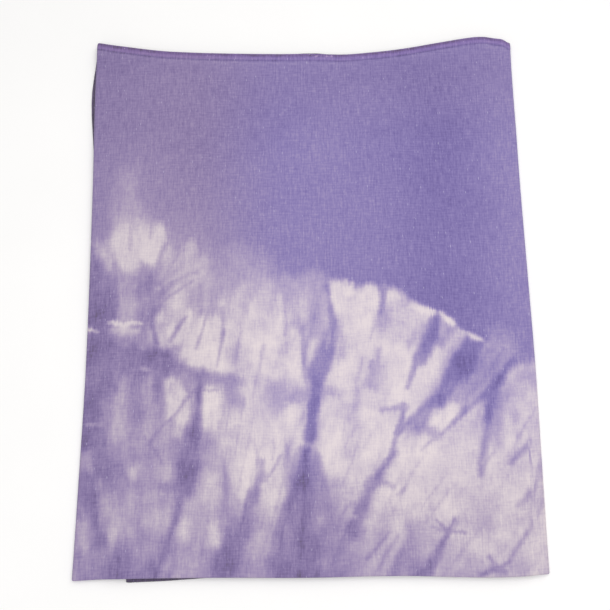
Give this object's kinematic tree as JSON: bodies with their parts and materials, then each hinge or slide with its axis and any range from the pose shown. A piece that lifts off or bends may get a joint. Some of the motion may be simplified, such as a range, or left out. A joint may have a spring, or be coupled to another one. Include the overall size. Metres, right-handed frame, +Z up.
{
  "type": "folded tie-dyed tablecloth",
  "caption": "Violet tie-dyed cotton tablecloth with a pale burst and narrow stitched hems, folded in half and then in thirds, lying flat.",
  "frame": {"origin": "middle of the outline box, on the surface that the folded cloth lies on", "axes": "+X to the right across the folded bundle, +Y from the front fold to the hem, +Z up through the layers"},
  "size_m": [0.462, 0.5726, 0.01],
  "materials": {
    "cloth": "matt handloom cotton, tied and dyed violet"
  },
  "bodies": {
    "root": {"tablecloth": "cloth"}
  },
  "joints": []
}
